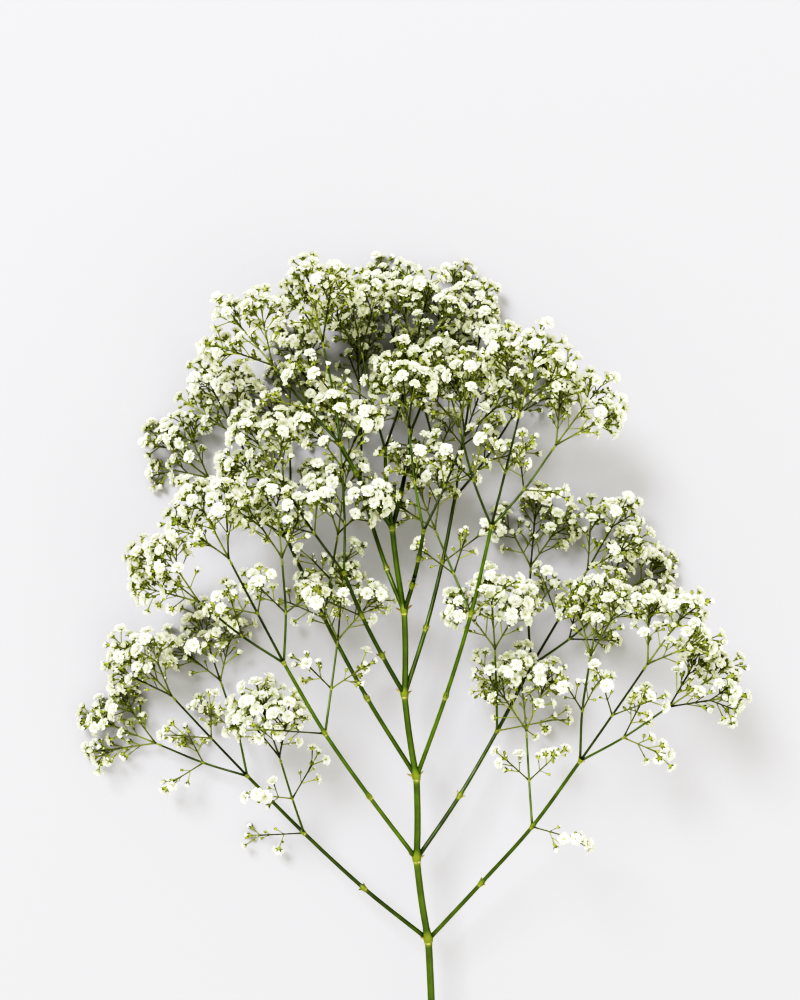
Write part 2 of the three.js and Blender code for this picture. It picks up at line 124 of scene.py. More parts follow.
class Room:
    """The capsules that have grown so far, and how far a new one is from them. A capsule is all that lies
    within r of the line from a to b."""

    MOST = 16384

    def __init__(self):
        self.a = np.zeros((self.MOST, 3))
        self.b = np.zeros((self.MOST, 3))
        self.r = np.zeros(self.MOST)
        self.count = 0
        self.meeting = {}
        self.kept = []

    def claim(self, a, b, r):
        """Takes the room of a capsule, and gives its number."""
        n = self.count
        self.a[n], self.b[n], self.r[n] = a, b, r
        for point in (a, b):
            self.meeting.setdefault(id(point), []).append(n)
        self.kept += [a, b]
        self.count += 1
        return n

    def touching(self, point):
        """The numbers of the capsules that end at this very point."""
        return self.meeting.get(id(point), [])

    def gap(self, p, q, r, ignored=()):
        """The least gap from the capsule p, q, r to those grown so far, below 0 where they overlap."""
        n = self.count
        d1 = q - p
        d2 = self.b[:n] - self.a[:n]
        between = p - self.a[:n]
        a = max(float(d1 @ d1), 1e-12)
        e = np.maximum((d2 * d2).sum(1), 1e-12)
        b = d2 @ d1
        c = between @ d1
        f = (d2 * between).sum(1)
        steep = a * e - b * b
        s = np.where(steep > 1e-9, (b * f - c * e) / np.where(steep > 1e-9, steep, 1), 0).clip(0, 1)
        t = (b * s + f) / e
        held = t.clip(0, 1)
        s = np.where(held != t, ((b * held - c) / a).clip(0, 1), s)
        apart = between + s[:, None] * d1 - held[:, None] * d2
        gaps = np.sqrt((apart * apart).sum(1)) - self.r[:n] - r
        if len(ignored):
            gaps[list(ignored)] = 1e9
        return float(gaps.min()) if n else 1e9


room = Room()


def grow_clearest(root, make):
    """Tries seeded variations of a shoot and returns the clearest."""
    best = None
    for n in range(GROWTH["tries"]):
        looseness = n / GROWTH["tries"]
        shoot = make(looseness)
        clear = GROWTH["enough"]
        for a, b, r, floor, bloom in shoot["capsules"]:
            ignored = () if bloom else room.touching(root)
            sunk = min(a[2], b[2]) - floor
            clear = min(clear, room.gap(a, b, r, ignored))
            if sunk < -GROWTH["sunk"]:
                clear = min(clear, sunk)
        score = clear - looseness
        if best is None or score > best["score"]:
            best = dict(shoot, room=clear, score=score)
    return best


def capsules_along(points, r0, r1):
    """Capsules (a, b, radius, lowest height allowed, is it a bloom) along a tapering shoot."""
    last = len(points) - 1
    return [(points[i], points[i + 1], mix(r0, r1, i / last), mix(r0, r1, i / last), False)
            for i in range(last)]


def claim_all(shoot):
    """Takes the room of all the shoot's capsules."""
    for a, b, r, _, _ in shoot["capsules"]:
        room.claim(a, b, r)


# ---------------------------------------------------------------- growing the stem
def grow_stalk():
    """The stalk's joints from the cut end up: (place, radius)."""
    heights = [0]
    for _ in range(STALK["bare_joints"]):
        heights.append(heights[-1] + STALK["bare_internode"])
    for _ in range(STALK["branched_joints"]):
        heights.append(heights[-1] + STALK["branched_internode"])
    joints = []
    for i, y in enumerate(heights):
        t = y / heights[-1]
        turn = 0 if i == 0 else (1 if i % 2 else -1) * STALK["zigzag"]
        x = STALK["lean"] * (0.5 - t) + turn
        z = STALK["base_radius"] * math.cos(math.pi / STALK["sides"]) + STALK["rise"] * smooth(t)
        radius = mix(STALK["base_radius"], STALK["tip_radius"], t)
        joints.append((np.array([x, y, z], float), radius))
    for (below, radius), (joint, _) in zip(joints, joints[1:]):
        room.claim(below, joint, radius)
    return joints


def stalk_heading(joints, n):
    """The stalk's own direction just above joint n, in degrees."""
    above = min(n + 1, len(joints) - 1)
    step = joints[above][0] - joints[above - 1][0]
    return math.degrees(math.atan2(step[0], step[1]))


def grow_bracts(joints):
    """A pair of leaf scales at each joint of the stalk: (foot, tip, size)."""
    bracts = []
    for i, (point, _) in enumerate(joints[1:-1]):
        axis = heading(stalk_heading(joints, i + 1))
        for side in (-1, 1):
            roll = (0 if side > 0 else 180) + BRACT["rolls"][i % 2]
            size = 1 if i + 1 < STALK["bare_joints"] else BRACT["upper_size"]
            size *= 1 - BRACT["smaller"] * draw()
            tip = point + fork(axis, BRACT["angle"], roll) * (size * BRACT["length"])
            tip[2] += size * BRACT["lift"]
            room.claim(point, tip, BRACT["radius"])
            bracts.append((point, tip, size))
    return bracts


def grow_side_branch(joint, direction, spec):
    """A side branch from a joint, bowing to its own height; direction is the stalk's there."""
    _, angle, length, height, _, _ = spec
    inwards = -math.copysign(BRANCH["bend"], angle)

    def make(looseness):
        turn = direction + angle + spread(GROWTH["jitter"] * BRANCH["jitter_share"] * looseness)
        points = [joint]
        for i in range(BRANCH["steps"]):
            bent = turn + inwards * ((i + 0.5) / BRANCH["steps"])
            point = points[-1] + heading(bent) * (length / BRANCH["steps"])
            point[2] = mix(joint[2], height, smooth((i + 1) / BRANCH["steps"]))
            points.append(point)
        capsules = capsules_along(points, BRANCH["radius"], BRANCH["end_radius"])
        return dict(points=points, capsules=capsules, end=turn + inwards)

    shoot = grow_clearest(joint, make)
    claim_all(shoot)
    return dict(shoot, spec=spec)


def grow_twig(start, length, turn, bow, climb):
    """A twig of two stretches that part by a bow."""
    def make(looseness):
        way = turn + spread(TWIG["sway"])
        way += spread(GROWTH["jitter"] * looseness)
        rise = climb + spread(TWIG["bob"] * looseness)
        middle = start + heading(way + bow) * (length / 2)
        end = middle + heading(way - bow) * (length / 2)
        end[2] = max(start[2] + rise, TWIG["lowest"])
        middle[2] = mix(start[2], end[2], TWIG["middle_height"])
        points = [start, middle, end]
        return dict(points=points, capsules=capsules_along(points, TWIG["radius"], TWIG["end_radius"]))

    shoot = grow_clearest(start, make)
    claim_all(shoot)
    return shoot


def grow_twigs(branch):
    """The twigs at a branch's fork, and the one halfway on its inner side."""
    _, angle, _, _, count, inner = branch["spec"]
    start = branch["points"][-1]
    twigs = []
    for side in FORK_SIDES[count]:
        length = TWIG["length"] if side else TWIG["middle_length"]
        climb = -TWIG["tilt"] if side else TWIG["tilt"]
        turn = branch["end"] + side * TWIG["fork"]
        twigs.append(grow_twig(start, length, turn, side * TWIG["bow"], climb))
    if inner:
        lower = branch["points"][-2]
        turn = branch["end"] - math.copysign(TWIG["inner_fork"], angle)
        twigs.append(grow_twig(lower, TWIG["inner_length"], turn, 0, MIDDLE - lower[2]))
    return twigs


def grow_twiglets(twig, name):
    """A spray's own fork of three, just past the end of its twig."""
    before, end = twig["points"][-2:]
    axis = unit(end - before)
    root = end + axis * SPRAY["seam"]
    knot = root + axis * SPRAY["stub"]
    room.claim(root, knot, SPRAY["radius"])
    roll = SPRAY["roll"] + spread(SPRAY["roll_spread"])
    play = TWIGLET_PLAY
    twiglets = []
    for i, side in enumerate((0, 0, 180)):
        length = SPRAY["twiglet_length"] if i else SPRAY["twiglet_middle"]

        def make(looseness):
            jitter = GROWTH["jitter"] * (play["steady"] + looseness)
            angle = (SPRAY["twiglet_fork"] if i else 0) + spread(jitter)
            direction = fork(axis, angle, roll + side + spread(play["roll"] * looseness), SPRAY["flatten"])
            tip = knot + direction * (length * (1 - play["shorter"] * looseness * draw()))
            capsule = (knot, tip, SPRAY["radius"], SPRAY["twiglet_floor"], False)
            return dict(direction=direction, tip=tip, capsules=[capsule])

        shoot = grow_clearest(knot, make)
        claim_all(shoot)
        twiglets.append(dict(shoot, blooms=[]))
    return dict(name=name, root=root, knot=knot, axis=axis, roll=roll, twiglets=twiglets)


def grow_bloom(spray, twiglet, number):
    """A main bloom on its pedicel, where there is room: 0 is the one ahead, 1 and 2 stand aside."""
    length = SPRAY["pedicel_length"] if number else SPRAY["pedicel_middle"]
    roll = spray["roll"] + (270 if number == 2 else 90)
    tip, axis = twiglet["tip"], twiglet["direction"]
    play = BLOOM_PLAY

    def make(looseness):
        jitter = GROWTH["jitter"] * (play["steady"] + play["looser"] * looseness)
        angle = (SPRAY["pedicel_fork"] if number else 0) + spread(jitter)
        direction = fork(axis, angle, roll + spread(play["roll"] * looseness), SPRAY["flatten"])
        seat = tip + direction * (length * (1 - play["shorter"] * looseness * draw()))
        middle = seat + direction * (BLOOM["inner_height"] * BLOOM["middle_share"])
        sag = middle[2] - GROWTH["bloom_floor"]
        if 0 < sag < GROWTH["settle"]:
            seat[2] -= sag
            middle[2] -= sag
        pedicel = (tip, seat, SPRAY["pedicel_radius"], SPRAY["pedicel_floor"], False)
        head = (middle, middle, BLOOM["radius"], GROWTH["bloom_floor"], True)
        return dict(seat=seat, middle=middle, direction=direction, capsules=[pedicel, head])

    shoot = grow_clearest(tip, make)
    if shoot["room"] < GROWTH["least_gap"]:
        return
    claim_all(shoot)
    twiglet["blooms"].append(shoot)


def grow_stem():
    """The whole plant in its own frame, in mm, in the order that the solid part grows."""
    joints = grow_stalk()
    bracts = grow_bracts(joints)
    branches = []
    for spec in SIDE_BRANCHES:
        n = STALK["bare_joints"] + spec[0]
        branches.append(grow_side_branch(joints[n][0], stalk_heading(joints, n), spec))
    twigs = [twig for branch in branches for twig in grow_twigs(branch)]
    sprays = [grow_twiglets(twig, "spray_%02d" % (i + 1)) for i, twig in enumerate(twigs)]
    for number in (0, 1, 2):
        for spray in sprays:
            for twiglet in spray["twiglets"]:
                grow_bloom(spray, twiglet, number)
    return dict(joints=joints, bracts=bracts, branches=branches, twigs=twigs, sprays=sprays)


def middle_of(plant):
    """The middle of the footprint, from the cut end and the blooms: the frame's own origin."""
    twiglets = [twiglet for spray in plant["sprays"] for twiglet in spray["twiglets"]]
    middles = [bloom["middle"] for twiglet in twiglets for bloom in twiglet["blooms"]]
    across = [middle[0] for middle in middles]
    ahead = [middle[1] for middle in middles]
    foot = plant["joints"][0][0][1]
    return np.array([(min(across) + max(across)) / 2, (foot + max(ahead) + BLOOM["radius"]) / 2, 0.0])


plant = grow_stem()
CENTRE = middle_of(plant)


# ---------------------------------------------------------------- filling the sprays out
# Each spray carries more than its main blooms: side pedicels with open blooms, half-open ones and buds.
OPEN, HALF, BUD = 0, 1, 2
HEAD_RADIUS = (2.5, 1.6, 1.0)
HEAD_MIDDLE = (2.3, 2.2, 1.2)  # from a head's seat to its middle
HEAD_SIZE = ((0.68, 0.88), (0.84, 1.0), (0.86, 1.0))
SIDE = dict(lengths=(6.8, 5.4, 3.8), stretch=(0.75, 1.15), angle=40, opening=(-12, 16), swing=40,
            first_swing=0.4, tries_to_widen=6, flatten=0.85, radius=0.25, foot=1.2, brush=0.1, tries=9,
            enough=0.4, overlap=0.5, sunk=0.7, dropped_bud=0.45)
SPRIG = dict(length=17, branch_length=26, stretch=(0.8, 1.15), fork=40, opening=(-12, 14), swing=32,
             roll=30, branch_roll=15, flatten=0.9, radius=0.34, foot=2, crown=6, crown_radius=2.0,
             lowest=3.5, tries=14, overlap=0.2, heads_at=(0.45, 0.75), reach=1.1, tip_reach=1.2,
             tip_angle=6, ripeness=0.8)
TWIGLET_HEADS_AT = (0.4, 0.62, 0.86)
PEDICEL_HEADS_AT = (0.28, 0.5, 0.72)
TWIGLET_REACH = 1.3
HIGHEST_SPRIG_JOINT = 3
BUD_PAIR = dict(share=0.35, at=0.5, reach=0.9)
# Sprays at the rim of the crown are younger: fewer of their heads are open, and their blooms are smaller.
CROWN = dict(half_width=130, shoulder=130, height=150)
RIPENESS = (0.52, 0.78)
HALF_OPEN_SHARE = 0.3
YOUNG = dict(less_ripe=0.16, smaller=0.08)
FILL = np.random.default_rng(11)
BOTH_SIDES = (0, 180)


def side_head(start, axis, roll, kinds, ignored, reach=1.0, angle=SIDE["angle"]):
    """A side pedicel from start, with the largest of these kinds of head that finds room."""
    for kind in kinds:
        if kind == BUD and len(kinds) > 1 and FILL.random() < SIDE["dropped_bud"]:
            return None
        length, radius = SIDE["lengths"][kind] * reach, HEAD_RADIUS[kind]
        best = None
        for n in range(SIDE["tries"]):
            away = angle + FILL.uniform(*SIDE["opening"])
            swing = FILL.uniform(-SIDE["swing"], SIDE["swing"])
            swing *= SIDE["first_swing"] + n / SIDE["tries_to_widen"]
            direction = fork(axis, away, roll + swing, SIDE["flatten"])
            seat = start + direction * (length * FILL.uniform(*SIDE["stretch"]))
            middle = seat + direction * HEAD_MIDDLE[kind]
            if middle[2] < radius * SIDE["sunk"]:
                continue
            clear = room.gap(middle, middle, radius)
            if clear > -SIDE["overlap"]:
                foot = start + direction * SIDE["foot"]
                clear = min(clear, room.gap(foot, seat, SIDE["radius"], ignored) + SIDE["brush"])
            if best is None or clear > best[0]:
                best = (clear, direction, seat, middle)
            if clear > SIDE["enough"]:
                break
        if best and best[0] > -SIDE["overlap"]:
            _, direction, seat, middle = best
            stalk = room.claim(start, seat, SIDE["radius"])
            room.claim(middle, middle, radius)
            return dict(kind=kind, start=start, seat=seat, direction=direction, stalk=stalk)
    return None


def kinds_for(ripe):
    """What a side pedicel may bear: on a riper shoot more of them are open."""
    x = FILL.random()
    if x < ripe:
        return (OPEN, HALF, BUD)
    return (HALF, BUD) if x < ripe + HALF_OPEN_SHARE else (BUD,)


def side_pair(stalk, direction, roll, share, ripe, ignored, reach=1.0):
    """Two opposite side heads on a stalk, at a share of its length."""
    start = stalk[0] + (stalk[1] - stalk[0]) * share
    pair = []
    for side in BOTH_SIDES:
        pair.append(side_head(start, direction, roll + side, kinds_for(ripe), ignored, reach))
    return [head for head in pair if head]


def grow_sprig(joint, axis, roll, length, ripe):
    """A short side shoot from a joint, with heads at its tip and halfway; None where there is no room."""
    near = room.touching(joint)
    best = None
    for _ in range(SPRIG["tries"]):
        away = SPRIG["fork"] + FILL.uniform(*SPRIG["opening"])
        swing = FILL.uniform(-SPRIG["swing"], SPRIG["swing"])
        direction = fork(axis, away, roll + swing, SPRIG["flatten"])
        tip = joint + direction * (length * FILL.uniform(*SPRIG["stretch"]))
        if tip[2] < SPRIG["lowest"]:
            continue
        crown = tip + direction * SPRIG["crown"]
        clear = min(room.gap(joint + direction * SPRIG["foot"], tip, SPRIG["radius"], near),
                    room.gap(crown, crown, SPRIG["crown_radius"]))
        if best is None or clear > best[0]:
            best = (clear, direction, tip)
    if best is None or best[0] < -SPRIG["overlap"]:
        return None
    _, direction, tip = best
    own = [room.claim(joint, tip, SPRIG["radius"])]
    reach, angle = SPRIG["tip_reach"], SPRIG["tip_angle"]
    at_tip = [side_head(tip, direction, roll, kinds_for(ripe), own, reach, angle)]
    for side in BOTH_SIDES:
        at_tip.append(side_head(tip, direction, roll + 90 + side, kinds_for(ripe), own, SPRIG["reach"]))
    heads = [head for head in at_tip if head]
    ripe *= SPRIG["ripeness"]
    for n, share in enumerate(SPRIG["heads_at"]):
        heads += side_pair((joint, tip), direction, roll + 90 * n, share, ripe, own, SPRIG["reach"])
    return dict(joint=joint, tip=tip, direction=direction, heads=heads)


def sprigs_of(spray, twig):
    """Opposite side shoots at the joint halfway along the spray's twig."""
    before, joint = twig["points"][:2]
    axis = unit(joint - before)
    roll = FILL.uniform(-SPRIG["roll"], SPRIG["roll"])
    pair = [grow_sprig(joint, axis, roll + side, SPRIG["length"], spray["ripe"]) for side in BOTH_SIDES]
    return [sprig for sprig in pair if sprig]


def branch_sprig(branch, spray):
    """A longer side shoot on the outer side of a branch, across from where its inner twig leaves."""
    before, joint = branch["points"][1:3]
    roll = SPRIG["branch_roll"] + (0 if branch["spec"][1] > 0 else 180)
    return grow_sprig(joint, unit(joint - before), roll, SPRIG["branch_length"], spray["ripe"])


def fill_spray(spray):
    """Side heads on the spray's twiglets and pedicels."""
    sides = []
    for twiglet in spray["twiglets"]:
        near = room.touching(twiglet["tip"])
        turn = FILL.uniform(0, 360)
        stalk, direction = (spray["knot"], twiglet["tip"]), twiglet["direction"]
        for n, share in enumerate(TWIGLET_HEADS_AT):
            sides += side_pair(stalk, direction, turn + 90 * n, share, spray["ripe"], near, TWIGLET_REACH)
    for twiglet in spray["twiglets"]:
        for bloom in twiglet["blooms"]:
            near = room.touching(twiglet["tip"]) + room.touching(bloom["seat"])
            turn = FILL.uniform(0, 360)
            stalk = (twiglet["tip"], bloom["seat"])
            for n, share in enumerate(PEDICEL_HEADS_AT):
                sides += side_pair(stalk, bloom["direction"], turn + 90 * n, share, spray["ripe"], near)
    return sides


def add_buds(heads):
    """A pair of buds halfway up some of the side pedicels."""
    only_buds = -1
    buds = []
    for head in heads:
        if head["kind"] != BUD and FILL.random() < BUD_PAIR["share"]:
            stalk, own = (head["start"], head["seat"]), [head["stalk"]]
            at, reach = BUD_PAIR["at"], BUD_PAIR["reach"]
            buds += side_pair(stalk, head["direction"], 90, at, only_buds, own, reach)
    return heads + buds


def youth(spray):
    """How near a spray is to the rim of the crown: 0 in its middle, 1 at its sides and top."""
    aside, ahead = (spray["root"] - CENTRE)[:2]
    beyond = max(ahead - CROWN["shoulder"], 0)
    return min(math.hypot(aside / CROWN["half_width"], beyond / CROWN["height"]), 1)


def fill_out(sprays, twigs, branches):
    """Gives every spray its side heads, its sprigs and the heads and buds on them."""
    for spray in sprays:
        spray["young"] = youth(spray)
        spray["ripe"] = FILL.uniform(*RIPENESS) - YOUNG["less_ripe"] * spray["young"]
        spray["sides"] = fill_spray(spray)
    for spray, twig in zip(sprays, twigs):
        spray["sprigs"] = sprigs_of(spray, twig)
    first_spray = 0
    for branch in branches:
        joint, _, _, _, twigs_at_fork, inner_twig = branch["spec"]
        spray = sprays[first_spray]
        first_spray += twigs_at_fork + inner_twig
        sprig = branch_sprig(branch, spray) if joint <= HIGHEST_SPRIG_JOINT else None
        if sprig:
            spray["sprigs"].append(sprig)
    for spray in sprays:
        spray["sides"] += [head for sprig in spray["sprigs"] for head in sprig["heads"]]
        spray["sides"] = add_buds(spray["sides"])


fill_out(plant["sprays"], plant["twigs"], plant["branches"])


# ---------------------------------------------------------------- gathering skins
class Skin:
    """Points in mm, triangles and masks of one piece, gathered before its mesh is made. tip and tone are
    shares from 0 to 1; fibre is each point's place across and along its own shoot, for the grain."""

    def __init__(self):
        self.parts = []
        self.count = 0

    def add(self, points, triangles, tip, tone, fibre=None):
        n = len(points)
        fibre = points if fibre is None else fibre
        masks = (np.broadcast_to(tip, n), np.broadcast_to(tone, n), fibre)
        self.parts.append((points, triangles + self.count, *masks))
        self.count += n

    def piece(self, name, material):
        """The mesh object of all the skins gathered, in metres, riding on the stem."""
        points, triangles, tips, tones, fibres = (np.concatenate(group) for group in zip(*self.parts))
        points = (points - CENTRE) * MM
        points[:, 2] = points[:, 2].clip(0)
        mesh = bpy.data.meshes.new(name)
        mesh.vertices.add(len(points))
        mesh.vertices.foreach_set("co", points.astype(np.float32).ravel())
        mesh.loops.add(triangles.size)
        mesh.loops.foreach_set("vertex_index", triangles.astype(np.int32).ravel())
        mesh.polygons.add(len(triangles))
        mesh.polygons.foreach_set("loop_start", np.arange(0, triangles.size, 3, dtype=np.int32))
        mesh.polygons.foreach_set("use_smooth", np.ones(len(triangles), bool))
        mesh.update(calc_edges=True)
        for title, values in (("tip", tips), ("tone", tones)):
            mask = mesh.attributes.new(title, "FLOAT", "POINT")
            mask.data.foreach_set("value", values.astype(np.float32))
        grain = mesh.attributes.new("fibre", "FLOAT_VECTOR", "POINT")
        grain.data.foreach_set("vector", (fibres * MM).astype(np.float32).ravel())
        mesh.materials.append(material)
        piece = bpy.data.objects.new(name, mesh)
        bpy.context.scene.collection.objects.link(piece)
        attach(piece, "root")
        return piece


def grid_triangles(rows, columns, wrap):
    """Two triangles for each cell of a grid of points; wrap closes its rows into rings."""
    width = columns if wrap else columns - 1
    i, j = np.meshgrid(np.arange(rows - 1), np.arange(width), indexing="ij")
    a = (i * columns + j).ravel()
    b = (i * columns + (j + 1) % columns).ravel()
    c, d = b + columns, a + columns
    return np.concatenate([np.stack([a, b, c], 1), np.stack([a, c, d], 1)])


# In mm for every point made before a tube: its grain starts that much further on, so no two match.
FIBRE_SHIFT = 0.37


def tube(skin, points, radii, sides, tip=0.0, tone=0.5):
    """A round skin along points, closed at both ends. radii and tip are one value, or one a point."""
    points = np.asarray(points, float)
    radii = np.broadcast_to(np.asarray(radii, float), len(points))
    tip = np.broadcast_to(np.asarray(tip, float), len(points))
    tangents = np.gradient(points, axis=0)
    tangents /= np.linalg.norm(tangents, axis=1)[:, None]
    normal = np.cross(tangents[0], UP)
    if np.linalg.norm(normal) < 1e-4:
        normal = np.array([1.0, 0, 0])
    angles = np.arange(sides) * (2 * math.pi / sides)
    steps = np.linalg.norm(np.diff(points, axis=0, prepend=points[:1]), axis=1)
    along = np.cumsum(steps) + FIBRE_SHIFT * skin.count
    rings, fibres = [], []
    for point, tangent, radius, far in zip(points, tangents, radii, along):
        normal = unit(normal - tangent * float(normal @ tangent))
        other = np.cross(tangent, normal)
        rings.append(point + radius * (np.cos(angles)[:, None] * normal + np.sin(angles)[:, None] * other))
        fibres.append(np.stack([radius * np.cos(angles), np.full(sides, far), radius * np.sin(angles)], 1))
    rows = len(points)
    body = grid_triangles(rows, sides, True)
    first, last = rows * sides, rows * sides + 1
    j = np.arange(sides)
    start = np.stack([np.full(sides, first), (j + 1) % sides, j], 1)
    top = (rows - 1) * sides
    end = np.stack([np.full(sides, last), top + j, top + (j + 1) % sides], 1)
    verts = np.concatenate([np.concatenate(rings), points[:1], points[-1:]])
    masks = np.concatenate([np.repeat(tip, sides), tip[:1], tip[-1:]])
    fibres += [[[0, along[0], 0]], [[0, along[-1], 0]]]
    skin.add(verts, np.concatenate([body, start, end]), masks, tone, np.concatenate(fibres))


def on_curve(points, i, t):
    """A place on the smooth line through points, a share t of the way from point i to the next."""
    b, c = points[i], points[i + 1]
    a = points[i - 1] if i > 0 else 2 * b - c
    d = points[i + 2] if i + 2 < len(points) else 2 * c - b
    return 0.5 * (2 * b + (c - a) * t + (2 * a - 5 * b + 4 * c - d) * t * t
                  + (3 * b - a - 3 * c + d) * t ** 3)


def curve(points, per_stretch):
    """A smooth line through points: (places, share of the way along)."""
    stretches = range(len(points) - 1)
    places = [on_curve(points, i, k / per_stretch) for i in stretches for k in range(per_stretch)]
    places.append(points[-1])
    return np.array(places), np.linspace(0, 1, len(places))


# ---------------------------------------------------------------- the stalk and its branches
# A swollen joint: distance from it in shoot radii, thickness there, and how much of the joint's colour
# shows, up to 1 on its pale seam.
KNUCKLE = np.array([
    (-4.0, 1.0, 0.0), (-1.7, 1.02, 0.12), (-1.05, 1.16, 0.6), (-0.75, 1.33, 1.0), (-0.45, 1.25, 0.6),
    (0.0, 1.4, 0.42), (0.8, 1.48, 0.42), (1.8, 1.2, 0.3), (3.4, 0.97, 0.0), (6.0, 1.0, 0.0),
])
THICKNESS, JOINT_COLOUR = 1, 2
STRETCH_SHARES = (0.2, 0.35, 0.5, 0.65, 0.8)  # where a stretch between two joints has rings
FAR_FROM_JOINT = 99
ROUNDED_TIP = ((0.0, 1.0), (0.9, 1.0), (1.5, 0.75))  # past the last joint: distance, thickness
# The fine skins are round where the solids have flat sides, so they are a little slimmer.
SLIM_BRANCH, SLIM_TWIG = 0.92, 0.88
STALK_BOW = (0.5, 0.25)  # of each stretch, in mm: to the left and right in turn, and upwards
ROUND = dict(stalk=16, branch=10, twig=8, cut=24, stub=8, knot=7)  # sides of a skin


def knuckle(distance, column):
    """A value of the joint's swelling, at a distance from the joint in shoot radii."""
    return float(np.interp(distance, KNUCKLE[:, 0], KNUCKLE[:, column]))


def jointed_skin(skin, points, ends, sides, tone, place):
    """A shoot with swollen joints at all its points but the first; ends are its radii at foot and tip, and
    place(i, t) is a point of its line."""
    last = len(points) - 1
    before, after = KNUCKLE[KNUCKLE[:, 0] < 0, 0], KNUCKLE[KNUCKLE[:, 0] >= 0, 0]
    places, radii, masks = [], [], []
    for i in range(last):
        span = np.linalg.norm(points[i + 1] - points[i])
        r0, r1 = mix(*ends, i / last), mix(*ends, (i + 1) / last)
        ways = [span * share for share in STRETCH_SHARES] + list(span + before * r1)
        ways += list(after * r0) if i else [0.0]
        for way in sorted(ways):
            joints = (way / r0 if i else FAR_FROM_JOINT, (way - span) / r1)
            places.append(place(i, way / span))
            swelling = [knuckle(distance, THICKNESS) for distance in joints]
            radii.append(mix(r0, r1, way / span) * swelling[0] * swelling[1])
            masks.append(max(knuckle(distance, JOINT_COLOUR) for distance in joints))
    onwards = unit(points[-1] - places[-1])
    for beyond, share in ROUNDED_TIP:
        places.append(points[-1] + onwards * (beyond * ends[1]))
        radii.append(ends[1] * knuckle(beyond, THICKNESS) * share)
        masks.append(knuckle(beyond, JOINT_COLOUR))
    tube(skin, places, radii, sides, masks, tone)


def stalk_skin(skin):
    """The whole stalk, each stretch between two joints slightly bowed."""
    joints = [point for point, _ in plant["joints"]]

    def place(i, t):
        bow = np.array([STALK_BOW[0] * (-1) ** i, 0, STALK_BOW[1]])
        return mix(joints[i], joints[i + 1], t) + bow * math.sin(math.pi * t)

    ends = (STALK["base_radius"] * SLIM_BRANCH, STALK["tip_radius"] * SLIM_BRANCH)
    jointed_skin(skin, joints, ends, ROUND["stalk"], 0.5, place)


def branch_skin(skin, branch, number):
    """A side branch, in one of three tones."""
    points = branch["points"]
    ends = (BRANCH["radius"] * SLIM_BRANCH, BRANCH["end_radius"] * SLIM_BRANCH)
    tone = 0.25 + 0.3 * (number % 3) / 2
    jointed_skin(skin, points, ends, ROUND["branch"], tone, lambda i, t: on_curve(points, i, t))


def twig_skin(skin, twig, number):
    """A twig, in one of four tones."""
    points = twig["points"]
    ends = (TWIG["radius"] * SLIM_TWIG, TWIG["end_radius"] * SLIM_TWIG)
    tone = 0.1 + 0.4 * (number % 4) / 3
    jointed_skin(skin, points, ends, ROUND["twig"], tone, lambda i, t: on_curve(points, i, t))


# From the middle of the cut end to its rim: share of the radius, depth in mm.
CUT_PROFILE = ((0.03, 0.16), (0.3, 0.14), (0.55, 0.1), (0.75, 0.04), (0.88, 0.0), (1.0, 0.05))
CUT_PROUD = 0.2  # of the closed end of the stalk's skin


def cut_face(skin):
    """The stalk's cut end: a pale pith, slightly hollow, inside a green rim."""
    foot, above = plant["joints"][0][0], plant["joints"][1][0]
    axis = unit(above - foot)
    across = unit(np.cross(axis, UP))
    lift = np.cross(across, axis)
    sides = ROUND["cut"]
    angles = np.arange(sides) * (2 * math.pi / sides)
    ring = np.cos(angles)[:, None] * across + np.sin(angles)[:, None] * lift
    rim = STALK["base_radius"] * SLIM_BRANCH
    rows = [foot + ring * (rim * share) + axis * (depth - CUT_PROUD) for share, depth in CUT_PROFILE]
    shares = np.repeat([share for share, _ in CUT_PROFILE], sides)
    skin.add(np.concatenate(rows), grid_triangles(len(rows), sides, True), shares, 0.5)


# A leaf scale stands off the middle of its shoot by seat and leans from it by angle, to one of the rolls.
STALK_SCALE = dict(seat=1.4, length=6.2, width=1.9)
BRANCH_SCALE = dict(seat=0.6, length=2.9, width=1.3, angle=52, rolls=(20, 55, 90), shorter=0.4)
TWIG_SCALE = dict(seat=0.4, length=1.9, width=0.9, angle=50, rolls=(60, 180, 300))
SCALE_ROWS = 8
SCALE_COLUMNS = (-1, -0.5, 0, 0.5, 1)
SCALE_HOLLOW = 0.55
SCALE_HOOKS_FROM = 0.6  # of its length


def scale_leaf(skin, kind, point, direction, length, width, number):
    """A dried leaf scale in one of five tones: boat-shaped, pointed, its tip hooked over."""
    across = unit(np.cross(direction, UP))
    lift = np.cross(across, direction)
    foot = point + direction * kind["seat"]
    rows = []
    for k in range(SCALE_ROWS):
        t = k / (SCALE_ROWS - 1)
        half = width / 2 * (0.75 + 0.5 * t - 1.22 * t ** 2.4)
        hook = length * (0.10 * t * t - 0.28 * max(0, t - SCALE_HOOKS_FROM) ** 2 * 4)
        centre = foot + direction * (length * t * (1 - 0.1 * t)) + lift * hook
        for u in SCALE_COLUMNS:
            rows.append(centre + across * (u * half) + lift * (abs(u) ** 1.5 * half * SCALE_HOLLOW))
    columns = len(SCALE_COLUMNS)
    tips = np.repeat(np.linspace(0, 1, SCALE_ROWS), columns)
    skin.add(np.array(rows), grid_triangles(SCALE_ROWS, columns, False), tips, (number % 5) / 4)


